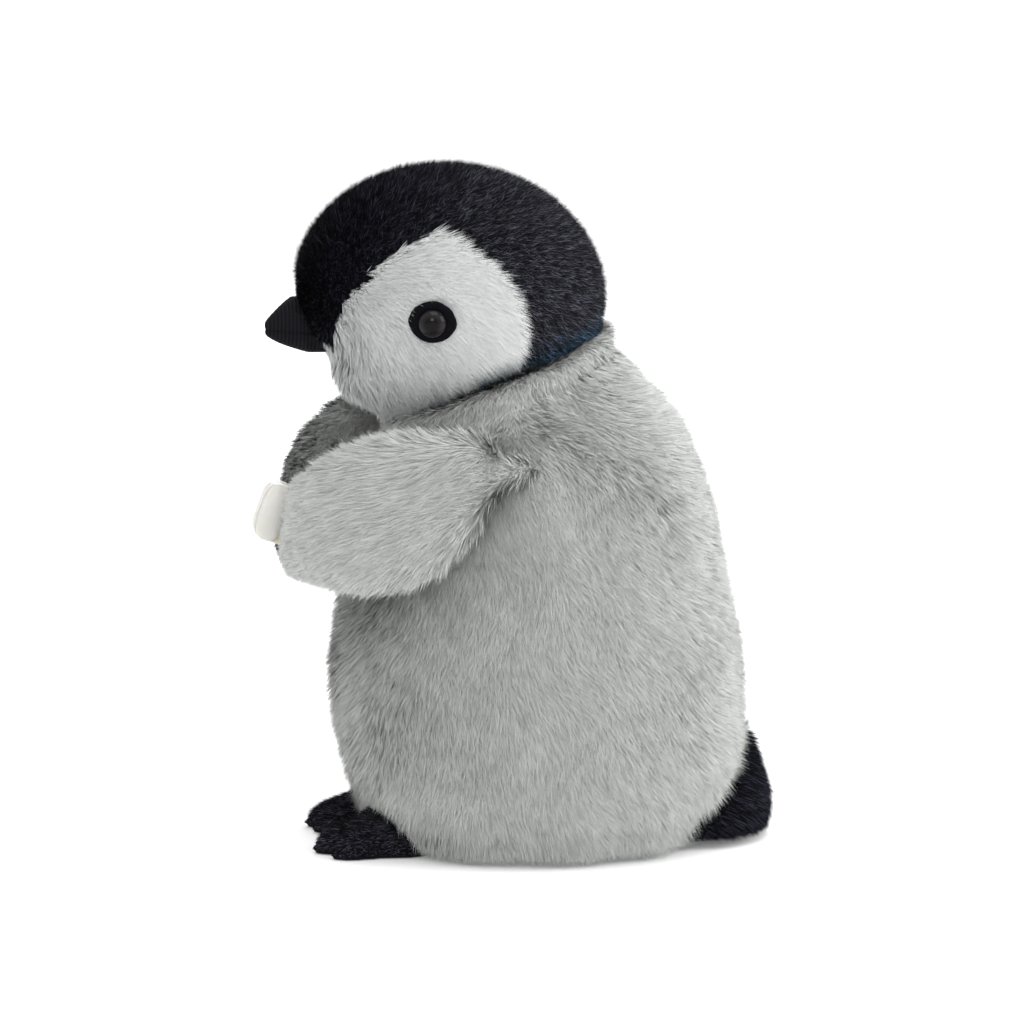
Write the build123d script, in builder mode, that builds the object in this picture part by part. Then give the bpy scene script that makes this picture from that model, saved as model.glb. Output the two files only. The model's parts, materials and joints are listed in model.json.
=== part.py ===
"""Plush penguin chick that stands on a flat base and hugs with a sprung clip inside its flippers.

Millimetres. Origin on the floor under the middle of the body. +Z is up, the penguin looks along -Y,
and its own left side is +X.
"""
from build123d import *
from math import cos, radians, sin
import os

os.makedirs("parts", exist_ok=True)

# Body: one ellipse for each height, as (z, half width, front y, back y)
BODY_SECTIONS = (
    (0, 21, -23, 21),
    (2, 29, -30.5, 30),
    (5, 34.5, -35.5, 36.5),
    (12, 39.5, -39, 41.5),
    (26, 42, -42.5, 43.6),
    (44, 42, -43, 42.5),
    (60, 40, -39.8, 39.3),
    (74, 37.5, -36.8, 36.5),
    (88, 33, -34, 30.5),
    (100, 26.5, -31, 23),
    (112, 19, -26.5, 14.6),
    (124, 9, -19, 3),
)
BODY_PLUSH = 3.0
BASE_THICK = 1.5

# Head: an egg that is round about its long axis, which rises towards the beak
HEAD_LENGTH = 66.8
HEAD_WIDTH = 56.0
HEAD_MIDDLE = (0, -18.5, 117.0)
HEAD_TILT = 5.0
HEAD_STEPS = 12
HEAD_LAST_ANGLE = 82.0
HEAD_PLUSH = 2.0

# Neck: the flat joint between the head and the body, with its axis square to it
NECK_MIDDLE = (0, -10.0, 100.6)
NECK_TILT = 21.0
NECK_GAP = 0.4

# Cheek outline from the side, as (y, z): from its pointed top down the back to the chin, and up the front
CHEEK_POINT = (-20.8, 132.2)
CHEEK_BACK = (
    (-10.9, 125.1),
    (-6.8, 120.5),
    (-4.3, 112.0),
    (-6.5, 104.0),
    (-14.0, 98.2),
    (-28.0, 92.0),
    (-46.0, 92.0),
    (-54.0, 98.0),
    (-50.0, 104.0),
)
CHEEK_CORNER = (-43.0, 107.0)
CHEEK_FRONT = ((-41.8, 112.8), (-37.8, 120.4), (-29.5, 127.9))
CHEEK_REACH = 34.0

# Eyes
EYE_SPOT = (-24.0, 114.7)
LENS_RADIUS = 3.1
LENS_RISE = 2.0
LENS_RIM = 0.5
POST_RADIUS = 1.2
POST_LENGTH = 8.0
WASHER_RADIUS = 4.0
WASHER_THICK = 1.2
WASHER_SLACK = 0.3
FELT_THICK = 0.8
FELT_LENGTH = 10.6
FELT_HEIGHT = 9.2
FELT_SKEW = 0.6

# Beak: one ellipse for each step forward, as (y, half width, half height, middle z)
BEAK_SECTIONS = (
    (-38.0, 10.5, 8.2, 112.2),
    (-46.0, 8.6, 7.4, 112.0),
    (-51.0, 6.0, 5.6, 111.6),
    (-55.0, 3.2, 3.2, 110.7),
    (-57.2, 1.3, 1.3, 110.2),
)
BEAK_CLOTH = 1.0
MOUTH_Z = 109.9

# Clip: two levers on one upright pin, as a clothes peg has
PIN_Y = -1.0
CLIP_Z = 70.5
CLIP_HEIGHT = 14.0
LEVER_THICK = 2.0
ARM_RADIUS = 48.0
ARM_START = 34.0
ARM_END = 88.0
HANDLE_ANGLE = 60.0
HANDLE_REACH = 26.0
BOSS_RADIUS = 4.0
PIN_RADIUS = 1.5
PIN_CLEARANCE = 0.05
SPOKE_START = 5.0
SPOKE_ROOT = 6.0
KNUCKLE = 2.5
KNUCKLE_GAP = 0.3
PAD_LENGTH = 12.4
PAD_DEPTH = 11.0
PAD_THICK = 2.2
PAD_CORNER = 3.1
PAD_GAP = 0.3
PAD_MIDDLE_Y = -53.8
PAD_LEAN = 20.0
SPRING_RADIUS = 2.7
SPRING_WIRE = 0.5
SPRING_PITCH = 0.9
SPRING_LEG = 11.0
POCKET_RADIUS = 31.0
POCKET_SPARE = 1.0
OPENING_ANGLE = 14.0
ARMHOLE_SPARE = 4.0
# Further out than any part of the model
FAR_OUT = 90.0

# Flippers: one ellipse for each angle round the pin, as (angle, radius, half thickness, low z, high z)
FLIPPER_SECTIONS = (
    (11.0, 43.5, 4.0, 77.0, 93.5),
    (20.0, 45.4, 5.6, 70.5, 94.5),
    (31.0, 46.9, 6.8, 62.0, 94.0),
    (44.0, 48.0, 7.3, 58.5, 93.0),
    (60.0, 48.8, 7.0, 57.5, 88.5),
    (75.0, 48.9, 5.8, 57.0, 83.0),
    (86.5, 48.5, 3.8, 58.5, 79.0),
)
FLIPPER_PLUSH = 2.2
# Clear space that the flippers sweep round the body, as (z, radius about the pin)
SWEEP_PROFILE = ((45, 43.9), (60, 41.4), (74, 38.9), (88, 35.4), (100, 31.5))

# Feet: toes as (middle x, middle y, turn), and one instep
TOES = ((8.5, -38.5, -8.0), (13.5, -39.8, 5.0), (18.5, -36.6, 22.0))
TOE_SIZE = (3.9, 9.0, 6.4)
TOE_Z = 0.5
INSTEP_MIDDLE = (13.5, -31.0, 1.0)
INSTEP_SIZE = (8.6, 10.5, 10.5)
SOLE_THICK = 1.2

# Tail: one ellipse for each height, as (z, half width, half depth, middle y)
TAIL_SECTIONS = (
    (2, 20.0, 18.0, 31.5),
    (9, 17.5, 16.5, 33.4),
    (16.5, 12.0, 11.5, 36.0),
    (24, 4.5, 5.0, 39.5),
)
TAIL_PLUSH = 2.0

# Bag of pellets that weighs the base down, as (z, half width, half depth)
BAG_SECTIONS = ((3, 18, 17), (7, 26, 25), (15, 29, 28), (21, 24, 23), (24, 16, 15))

NECK_AXIS = (0, -sin(radians(NECK_TILT)), cos(radians(NECK_TILT)))
NECK_PLANE = Plane(NECK_MIDDLE, x_dir=(1, 0, 0), z_dir=NECK_AXIS)
CLIP_BOTTOM = CLIP_Z - CLIP_HEIGHT / 2
CLIP_TOP = CLIP_Z + CLIP_HEIGHT / 2
# A spring leg runs along the inner face of its handle
LEG_OFFSET = LEVER_THICK / 2 + SPRING_WIRE + PIN_CLEARANCE
LEG_START = (SPRING_RADIUS**2 - LEG_OFFSET**2) ** 0.5


def pin_plane(z, turn=0.0):
    """A level plane at height z on the pin, with x turned forwards from the penguin's left."""
    return Plane((0, PIN_Y, z), x_dir=(cos(radians(turn)), -sin(radians(turn)), 0), z_dir=(0, 0, 1))


def body_form(inset=0.0):
    """The body's outside, or a surface that far inside it, up to the neck."""
    with BuildPart() as form:
        for z, half_width, front, back in BODY_SECTIONS:
            middle = Plane((0, (front + back) / 2, z))
            with BuildSketch(middle):
                Ellipse(half_width - inset, (back - front) / 2 - inset)
        loft()
        split(bisect_by=NECK_PLANE, keep=Keep.BOTTOM)
    return form.part


def head_form(outset=0.0):
    """The head's outside, or a surface that far outside it, down to the neck."""
    tilt = radians(HEAD_TILT)
    forward = Vector(0, -cos(tilt), sin(tilt))
    half_length = HEAD_LENGTH / 2 + outset
    half_width = HEAD_WIDTH / 2 + outset
    with BuildPart() as form:
        for step in range(HEAD_STEPS + 1):
            share = radians(HEAD_LAST_ANGLE * (2 * step / HEAD_STEPS - 1))
            middle = Vector(*HEAD_MIDDLE) + forward * half_length * sin(share)
            with BuildSketch(Plane(middle, x_dir=(1, 0, 0), z_dir=forward)):
                Circle(half_width * cos(share))
        loft()
        split(bisect_by=NECK_PLANE.offset(NECK_GAP), keep=Keep.TOP)
    return form.part


def beak_form(inset=0.0):
    """The beak's outside, or a surface that far inside it, with its root in the head."""
    with BuildPart() as form:
        for y, half_width, half_height, z in BEAK_SECTIONS:
            share = min(inset, half_height / 2)
            with BuildSketch(Plane((0, y + inset, z), x_dir=(1, 0, 0), z_dir=(0, -1, 0))):
                Ellipse(half_width - share, half_height - share)
        loft()
    return form.part


def flipper_form(inset=0.0):
    """The left flipper's outside, or a surface that far inside it, clear of the body it swings round."""
    with BuildPart() as form:
        for angle, radius, half_thick, low, high in FLIPPER_SECTIONS:
            turn = radians(angle)
            middle = (radius * cos(turn), PIN_Y - radius * sin(turn), (low + high) / 2)
            across = (cos(turn), -sin(turn), 0)
            along = (-sin(turn), -cos(turn), 0)
            with BuildSketch(Plane(middle, x_dir=across, z_dir=along)):
                Ellipse(half_thick - inset, (high - low) / 2 - inset)
        loft()
        with BuildSketch(Plane.XZ.offset(-PIN_Y)):
            with BuildLine():
                Polyline(
                    (0, SWEEP_PROFILE[0][0]),
                    *[(r + inset, z) for z, r in SWEEP_PROFILE],
                    (0, SWEEP_PROFILE[-1][0]),
                    close=True,
                )
            make_face()
        revolve(axis=Axis((0, PIN_Y, 0), (0, 0, 1)), mode=Mode.SUBTRACT)
    return form.part


def tail_form(inset=0.0):
    """The tail's outside, or a surface that far inside it."""
    with BuildPart() as form:
        for z, half_width, half_depth, y in TAIL_SECTIONS:
            share = min(inset, half_width / 2)
            height = z + inset if z == TAIL_SECTIONS[0][0] else z - inset
            with BuildSketch(Plane((0, y, height))):
                Ellipse(half_width - share, half_depth - share)
        loft()
    return form.part


def cheek_prism():
    """A block through the head's left half whose side outline is the cheek's."""
    with BuildPart() as prism:
        with BuildSketch(Plane.YZ):
            with BuildLine():
                Spline(CHEEK_POINT, *CHEEK_BACK, CHEEK_CORNER)
                Spline(CHEEK_CORNER, *CHEEK_FRONT, CHEEK_POINT)
            make_face()
        extrude(amount=CHEEK_REACH)
    return prism.part


def ellipsoid(middle, size, turn=0.0):
    """A ball stretched to three half sizes, then turned about an upright axis."""
    ball = scale(Sphere(1), by=size)
    return Pos(*middle) * Rot(0, 0, turn) * ball


def on_side(shape, side):
    """A shape made for the penguin's left, or its mirror image for the right."""
    return shape if side == "left" else mirror(shape, about=Plane.YZ, mode=Mode.PRIVATE)


SIDES = ("left", "right")
BODY = body_form()
BODY_INSIDE = body_form(BODY_PLUSH)
HEAD = head_form()
HEAD_INSIDE = head_form(-HEAD_PLUSH)
HEAD_WITH_FELT = head_form(FELT_THICK)
CHEEK_BLOCK = cheek_prism()
BEAK = beak_form()
BEAK_INSIDE = beak_form(BEAK_CLOTH)
FLIPPER = flipper_form()
FLIPPER_INSIDE = flipper_form(FLIPPER_PLUSH)
TAIL = tail_form()
TAIL_INSIDE = tail_form(TAIL_PLUSH)

# Eye plane: its origin on the head's surface and its axis square to it
tilt = radians(HEAD_TILT)
eye_along = -(EYE_SPOT[0] - HEAD_MIDDLE[1]) * cos(tilt) + (EYE_SPOT[1] - HEAD_MIDDLE[2]) * sin(tilt)
eye_across = (EYE_SPOT[0] - HEAD_MIDDLE[1]) * sin(tilt) + (EYE_SPOT[1] - HEAD_MIDDLE[2]) * cos(tilt)
half_length = HEAD_LENGTH / 2
half_width = HEAD_WIDTH / 2
eye_x = (half_width**2 * (1 - (eye_along / half_length) ** 2) - eye_across**2) ** 0.5
eye_slope = Vector(
    eye_x / half_width**2,
    -eye_along / half_length**2 * cos(tilt) + eye_across / half_width**2 * sin(tilt),
    eye_along / half_length**2 * sin(tilt) + eye_across / half_width**2 * cos(tilt),
)
EYE_PLANE = Plane((eye_x, *EYE_SPOT), x_dir=(0, -1, 0), z_dir=eye_slope.normalized())
EYE_SECTION = Plane(
    EYE_PLANE.origin,
    x_dir=EYE_PLANE.x_dir,
    z_dir=EYE_PLANE.x_dir.cross(EYE_PLANE.z_dir),
)


# ---- Clip ----
def knuckle_heights(mine):
    """Bottoms of this lever's two knuckles: the outer pair is the left lever's."""
    step = KNUCKLE + KNUCKLE_GAP
    low = CLIP_BOTTOM if mine == "outer" else CLIP_BOTTOM + step
    high = CLIP_TOP - KNUCKLE if mine == "outer" else CLIP_TOP - KNUCKLE - step
    return low, high


def lever(mine):
    """One lever of the clip, on the penguin's left: arm, gripping pad, handle and two knuckles."""
    with BuildPart() as made:
        with BuildSketch(pin_plane(CLIP_BOTTOM)):
            Circle(ARM_RADIUS + LEVER_THICK / 2)
            Circle(ARM_RADIUS - LEVER_THICK / 2, mode=Mode.SUBTRACT)
            with BuildLine():
                Polyline(
                    (0, 0),
                    (FAR_OUT * cos(radians(ARM_START)), -FAR_OUT * sin(radians(ARM_START))),
                    (FAR_OUT, -FAR_OUT),
                    (FAR_OUT * cos(radians(ARM_END)), -FAR_OUT * sin(radians(ARM_END))),
                    close=True,
                )
            make_face(mode=Mode.INTERSECT)
        extrude(amount=CLIP_HEIGHT)
        with BuildSketch(pin_plane(CLIP_BOTTOM, ARM_START)):
            with Locations(((SPOKE_START + ARM_RADIUS) / 2, 0)):
                Rectangle(ARM_RADIUS - SPOKE_START + LEVER_THICK, LEVER_THICK)
        with BuildSketch(pin_plane(CLIP_BOTTOM, -HANDLE_ANGLE)):
            with Locations(((SPOKE_START + HANDLE_REACH) / 2, 0)):
                Rectangle(HANDLE_REACH - SPOKE_START, LEVER_THICK)
            with Locations((HANDLE_REACH, 0)):
                Circle(LEVER_THICK)
        extrude(amount=CLIP_HEIGHT)
        for z in knuckle_heights(mine):
            with BuildSketch(pin_plane(z)):
                Circle(BOSS_RADIUS)
            with BuildSketch(pin_plane(z, ARM_START)):
                with Locations((SPOKE_ROOT / 2, 0)):
                    Rectangle(SPOKE_ROOT, LEVER_THICK)
            with BuildSketch(pin_plane(z, -HANDLE_ANGLE)):
                with Locations((SPOKE_ROOT / 2, 0)):
                    Rectangle(SPOKE_ROOT, LEVER_THICK)
            extrude(amount=KNUCKLE)
        lean = radians(PAD_LEAN)
        pad_plane = Plane(
            (PAD_GAP, PAD_MIDDLE_Y, CLIP_Z), x_dir=(0, cos(lean), -sin(lean)), z_dir=(1, 0, 0)
        )
        with BuildSketch(pad_plane):
            RectangleRounded(PAD_DEPTH, PAD_LENGTH, PAD_CORNER)
        extrude(amount=PAD_THICK)
        with BuildSketch(pin_plane(CLIP_BOTTOM)):
            Circle(PIN_RADIUS + PIN_CLEARANCE)
        extrude(amount=CLIP_HEIGHT, mode=Mode.SUBTRACT)
    return made.part


LEFT_LEVER = lever("outer")
RIGHT_LEVER = on_side(lever("inner"), "right")

with BuildPart() as clip_lever_left:
    add(LEFT_LEVER)
clip_lever_left.part.label = "clip_lever_left"
export_step(clip_lever_left.part, "parts/clip_lever_left.step")

with BuildPart() as clip_lever_right:
    add(RIGHT_LEVER)
clip_lever_right.part.label = "clip_lever_right"
export_step(clip_lever_right.part, "parts/clip_lever_right.step")

with BuildPart() as clip_pin:
    with BuildSketch(pin_plane(CLIP_BOTTOM - POCKET_SPARE)):
        Circle(PIN_RADIUS)
    extrude(amount=CLIP_HEIGHT + 2 * POCKET_SPARE)
clip_pin.part.label = "clip_pin"
export_step(clip_pin.part, "parts/clip_pin.step")

with BuildPart() as clip_spring:
    for way in (1, -1):
        turn_plane = pin_plane(CLIP_Z - way * SPRING_PITCH / 2)
        with BuildSketch(Plane(turn_plane.origin, x_dir=(1, 0, 0), z_dir=(0, -1, 0))):
            with Locations((SPRING_RADIUS, 0)):
                Circle(SPRING_WIRE)
        revolve(axis=Axis((0, PIN_Y, 0), (0, 0, 1)))
        leg_angle = radians(HANDLE_ANGLE)
        leg_way = Vector(way * cos(leg_angle), sin(leg_angle), 0)
        leg_aside = Vector(-way * sin(leg_angle), cos(leg_angle), 0) * LEG_OFFSET
        leg_start = turn_plane.origin + leg_aside + leg_way * LEG_START
        with BuildSketch(Plane(leg_start, z_dir=leg_way)):
            Circle(SPRING_WIRE)
        extrude(amount=SPRING_LEG - LEG_START)
clip_spring.part.label = "clip_spring"
export_step(clip_spring.part, "parts/clip_spring.step")

# ---- Body ----
with BuildPart() as clip_room:
    pocket_height = CLIP_HEIGHT + 2 * POCKET_SPARE
    with BuildSketch(pin_plane(CLIP_BOTTOM - POCKET_SPARE)):
        Circle(POCKET_RADIUS)
    extrude(amount=pocket_height)
    with BuildSketch(pin_plane(CLIP_BOTTOM - POCKET_SPARE)):
        first = radians(ARM_START + ARMHOLE_SPARE)
        last = radians(ARM_START - OPENING_ANGLE - ARMHOLE_SPARE)
        for way in (1, -1):
            with BuildLine():
                Polyline(
                    (0, 0),
                    (way * FAR_OUT * cos(first), -FAR_OUT * sin(first)),
                    (way * FAR_OUT * cos(last), -FAR_OUT * sin(last)),
                    close=True,
                )
            make_face()
    extrude(amount=pocket_height)

with BuildPart() as pellet_bag:
    for z, half_across, half_deep in BAG_SECTIONS:
        with BuildSketch(Plane.XY.offset(z)):
            Ellipse(half_across, half_deep)
    loft()
pellet_bag.part.label = "pellet_bag"
export_step(pellet_bag.part, "parts/pellet_bag.step")

with BuildPart() as base_panel:
    add(BODY)
    split(bisect_by=Plane.XY.offset(BASE_THICK), keep=Keep.BOTTOM)
base_panel.part.label = "base_panel"
export_step(base_panel.part, "parts/base_panel.step")

with BuildPart() as body_cover:
    add(BODY)
    split(bisect_by=Plane.XY.offset(BASE_THICK), keep=Keep.TOP)
    add(BODY_INSIDE, mode=Mode.SUBTRACT)
    add(clip_room.part, mode=Mode.SUBTRACT)
body_cover.part.label = "body_cover"
export_step(body_cover.part, "parts/body_cover.step")

with BuildPart() as body_stuffing:
    add(BODY_INSIDE)
    split(bisect_by=Plane.XY.offset(BASE_THICK), keep=Keep.TOP)
    add(pellet_bag.part, mode=Mode.SUBTRACT)
    add(clip_room.part, mode=Mode.SUBTRACT)
body_stuffing.part.label = "body_stuffing"
export_step(body_stuffing.part, "parts/body_stuffing.step")

# ---- Tail ----
with BuildPart() as tail_cover:
    add(TAIL)
    add(TAIL_INSIDE, mode=Mode.SUBTRACT)
    add(BODY, mode=Mode.SUBTRACT)
tail_cover.part.label = "tail_cover"
export_step(tail_cover.part, "parts/tail_cover.step")

with BuildPart() as tail_stuffing:
    add(TAIL_INSIDE)
    add(BODY, mode=Mode.SUBTRACT)
tail_stuffing.part.label = "tail_stuffing"
export_step(tail_stuffing.part, "parts/tail_stuffing.step")

# ---- Feet ----
foot_form = ellipsoid(INSTEP_MIDDLE, INSTEP_SIZE)
for toe_x, toe_y, toe_turn in TOES:
    foot_form += ellipsoid((toe_x, toe_y, TOE_Z), TOE_SIZE, toe_turn)

with BuildPart() as left_foot:
    add(foot_form)
    split(bisect_by=Plane.XY, keep=Keep.TOP)
    add(BODY, mode=Mode.SUBTRACT)

for side in SIDES:
    foot = on_side(left_foot.part, side)

    with BuildPart() as foot_upper:
        add(foot)
        split(bisect_by=Plane.XY.offset(SOLE_THICK), keep=Keep.TOP)
    foot_upper.part.label = f"foot_upper_{side}"
    export_step(foot_upper.part, f"parts/foot_upper_{side}.step")

    with BuildPart() as foot_sole:
        add(foot)
        split(bisect_by=Plane.XY.offset(SOLE_THICK), keep=Keep.BOTTOM)
    foot_sole.part.label = f"foot_sole_{side}"
    export_step(foot_sole.part, f"parts/foot_sole_{side}.step")

# ---- Flippers ----
for side, clip in (("left", LEFT_LEVER), ("right", RIGHT_LEVER)):
    outside = on_side(FLIPPER, side)
    inside = on_side(FLIPPER_INSIDE, side)

    with BuildPart() as flipper_cover:
        add(outside)
        add(inside, mode=Mode.SUBTRACT)
        add(clip, mode=Mode.SUBTRACT)
    flipper_cover.part.label = f"flipper_cover_{side}"
    export_step(flipper_cover.part, f"parts/flipper_cover_{side}.step")

    with BuildPart() as flipper_stuffing:
        add(inside)
        add(clip, mode=Mode.SUBTRACT)
    flipper_stuffing.part.label = f"flipper_stuffing_{side}"
    export_step(flipper_stuffing.part, f"parts/flipper_stuffing_{side}.step")

# ---- Head ----
with BuildPart() as left_eye:
    lens_top = FELT_THICK + LENS_RIM + LENS_RISE
    with BuildSketch(EYE_SECTION):
        with BuildLine():
            Polyline(
                (0, lens_top),
                (0, -POST_LENGTH),
                (POST_RADIUS, -POST_LENGTH),
                (POST_RADIUS, FELT_THICK),
                (LENS_RADIUS, FELT_THICK),
                (LENS_RADIUS, FELT_THICK + LENS_RIM),
            )
            TangentArc((0, lens_top), (LENS_RADIUS, FELT_THICK + LENS_RIM), tangent=(1, 0))
        make_face()
    revolve(axis=Axis(EYE_PLANE.origin, EYE_PLANE.z_dir))

with BuildPart() as left_washer:
    with BuildSketch(EYE_PLANE.offset(-HEAD_PLUSH - WASHER_SLACK - WASHER_THICK)):
        Circle(WASHER_RADIUS)
        Circle(POST_RADIUS, mode=Mode.SUBTRACT)
    extrude(amount=WASHER_THICK)

with BuildPart() as left_felt:
    add(HEAD_WITH_FELT)
    add(HEAD, mode=Mode.SUBTRACT)
    with BuildSketch(EYE_PLANE.offset(-POST_LENGTH)):
        with BuildLine():
            ThreePointArc((-FELT_LENGTH / 2, FELT_SKEW), (0, FELT_HEIGHT / 2), (FELT_LENGTH / 2, -FELT_SKEW))
            ThreePointArc((FELT_LENGTH / 2, -FELT_SKEW), (0, -FELT_HEIGHT / 2), (-FELT_LENGTH / 2, FELT_SKEW))
        make_face()
    extrude(amount=2 * POST_LENGTH, mode=Mode.INTERSECT)
    add(left_eye.part, mode=Mode.SUBTRACT)

with BuildPart() as left_half_plush:
    add(HEAD)
    add(HEAD_INSIDE, mode=Mode.SUBTRACT)
    split(bisect_by=Plane.YZ, keep=Keep.TOP)
    add(left_eye.part, mode=Mode.SUBTRACT)

with BuildPart() as left_cheek:
    add(left_half_plush.part)
    add(CHEEK_BLOCK, mode=Mode.INTERSECT)

with BuildPart() as left_half_cap:
    add(left_half_plush.part)
    add(CHEEK_BLOCK, mode=Mode.SUBTRACT)

with BuildPart() as head_cap:
    add(left_half_cap.part)
    mirror(left_half_cap.part, about=Plane.YZ)
head_cap.part.label = "head_cap"
export_step(head_cap.part, "parts/head_cap.step")

with BuildPart() as head_stuffing:
    add(HEAD_INSIDE)
    for side in SIDES:
        add(on_side(left_eye.part, side), mode=Mode.SUBTRACT)
        add(on_side(left_washer.part, side), mode=Mode.SUBTRACT)
head_stuffing.part.label = "head_stuffing"
export_step(head_stuffing.part, "parts/head_stuffing.step")

for side in SIDES:
    with BuildPart() as cheek:
        add(on_side(left_cheek.part, side))
    cheek.part.label = f"cheek_{side}"
    export_step(cheek.part, f"parts/cheek_{side}.step")

    with BuildPart() as eye:
        add(on_side(left_eye.part, side))
    eye.part.label = f"eye_{side}"
    export_step(eye.part, f"parts/eye_{side}.step")

    with BuildPart() as eye_felt:
        add(on_side(left_felt.part, side))
    eye_felt.part.label = f"eye_felt_{side}"
    export_step(eye_felt.part, f"parts/eye_felt_{side}.step")

    with BuildPart() as eye_washer:
        add(on_side(left_washer.part, side))
    eye_washer.part.label = f"eye_washer_{side}"
    export_step(eye_washer.part, f"parts/eye_washer_{side}.step")

# ---- Beak ----
for name, keep in (("beak_upper", Keep.TOP), ("beak_lower", Keep.BOTTOM)):
    with BuildPart() as mandible:
        add(BEAK)
        add(BEAK_INSIDE, mode=Mode.SUBTRACT)
        add(HEAD, mode=Mode.SUBTRACT)
        split(bisect_by=Plane.XY.offset(MOUTH_Z), keep=keep)
    mandible.part.label = name
    export_step(mandible.part, f"parts/{name}.step")

with BuildPart() as beak_stuffing:
    add(BEAK_INSIDE)
    add(HEAD, mode=Mode.SUBTRACT)
beak_stuffing.part.label = "beak_stuffing"
export_step(beak_stuffing.part, "parts/beak_stuffing.step")
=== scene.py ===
# %% [markdown]
# # A plush penguin chick
# The real toy is a sewn skin of fur cloth, stuffed with fibre, with a knitted beak, plastic eyes
# and a plastic clip inside its flippers. The fur is most of what anyone sees, so most of this file
# is about making a padded skin first and then growing a combed pile on it.

# %% Load the frame
import json
import math

import bmesh
import bpy
import numpy as np
from mathutils import Matrix, Vector
from mathutils.bvhtree import BVHTree


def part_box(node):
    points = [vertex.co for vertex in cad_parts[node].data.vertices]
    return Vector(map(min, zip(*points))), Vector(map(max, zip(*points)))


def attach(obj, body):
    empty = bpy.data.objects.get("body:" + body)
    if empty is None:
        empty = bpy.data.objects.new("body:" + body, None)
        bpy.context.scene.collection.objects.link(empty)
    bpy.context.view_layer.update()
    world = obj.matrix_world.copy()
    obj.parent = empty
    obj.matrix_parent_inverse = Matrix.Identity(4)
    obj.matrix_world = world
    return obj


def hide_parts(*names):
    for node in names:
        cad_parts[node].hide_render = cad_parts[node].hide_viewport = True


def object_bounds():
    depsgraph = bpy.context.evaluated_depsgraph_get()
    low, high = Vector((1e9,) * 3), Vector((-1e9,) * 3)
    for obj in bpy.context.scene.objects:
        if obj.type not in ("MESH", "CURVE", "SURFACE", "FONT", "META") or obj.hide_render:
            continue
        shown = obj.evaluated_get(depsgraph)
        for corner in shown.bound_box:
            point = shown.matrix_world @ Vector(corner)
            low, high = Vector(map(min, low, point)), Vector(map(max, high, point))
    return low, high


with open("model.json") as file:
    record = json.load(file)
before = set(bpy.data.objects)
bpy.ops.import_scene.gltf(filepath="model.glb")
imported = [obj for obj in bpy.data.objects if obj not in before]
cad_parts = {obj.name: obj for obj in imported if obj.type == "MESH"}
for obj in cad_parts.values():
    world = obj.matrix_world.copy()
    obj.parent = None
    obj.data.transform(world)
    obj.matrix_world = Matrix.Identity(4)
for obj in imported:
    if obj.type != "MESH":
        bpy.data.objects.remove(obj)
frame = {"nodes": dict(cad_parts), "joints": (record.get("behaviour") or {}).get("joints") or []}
cad_low, cad_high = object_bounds()
scene = bpy.context.scene
MM = 0.001
print("frame box in mm:", [round(v / MM, 1) for v in (*cad_low, *cad_high)])

# %% [markdown]
# ## Camera, light and floor
# The toy is seen from its left side and a little from above. A long lens keeps the far flipper
# nearly the size of the near one. Big soft lights and a pale world give the even light of a
# catalogue picture, with one brighter light behind the back so that the pile's edge glows.

# %% Camera
LENS = 250.0
VIEW_AZIMUTH = math.radians(85)
VIEW_RISE = math.radians(9)
FRAME_HEIGHT = 217.5 * MM
AIM_LIFT = -2.3 * MM
SENSOR = 36.0


def add_camera():
    """A camera a little above the toy, aimed near the middle of the frame's box."""
    data = bpy.data.cameras.new("camera")
    data.lens = LENS
    data.sensor_width = SENSOR
    data.clip_start = 0.01
    camera = bpy.data.objects.new("camera", data)
    scene.collection.objects.link(camera)
    aim = (cad_low + cad_high) / 2 + Vector((0, 0, AIM_LIFT))
    away = Vector((
        math.sin(VIEW_AZIMUTH) * math.cos(VIEW_RISE),
        -math.cos(VIEW_AZIMUTH) * math.cos(VIEW_RISE),
        math.sin(VIEW_RISE),
    ))
    distance = FRAME_HEIGHT / 2 / (SENSOR / 2 / LENS)
    camera.location = aim + away * distance
    camera.rotation_euler = (-away).to_track_quat("-Z", "Y").to_euler()
    scene.camera = camera
    print("camera", round(distance, 3), "m away")


add_camera()
scene.view_settings.view_transform = "Standard"
scene.view_settings.look = "None"


# %% Lights and floor
def add_light(name, place, target, side, watts):
    """A square soft light at place, facing target."""
    data = bpy.data.lights.new(name, "AREA")
    data.size = side
    data.energy = watts
    lamp = bpy.data.objects.new(name, data)
    scene.collection.objects.link(lamp)
    lamp.location = place
    lamp.rotation_euler = (Vector(target) - Vector(place)).to_track_quat("-Z", "Y").to_euler()


add_light("above", (0.30, 0.10, 1.0), (0, 0, 0.07), 0.7, 5.0)
add_light("back", (0.30, 0.85, 0.45), (0, 0, 0.08), 0.6, 5.0)
add_light("far_side", (-0.7, 0.1, 0.5), (0, 0, 0.07), 0.6, 3.0)

add_light("fill", (1.2, -0.2, 0.45), (0, -0.04, 0.08), 0.35, 3.0)

world = bpy.data.worlds.new("studio")
world.use_nodes = True
world.node_tree.nodes["Background"].inputs["Color"].default_value = (1, 1, 1, 1)
world.node_tree.nodes["Background"].inputs["Strength"].default_value = 1.0
scene.world = world


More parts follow.
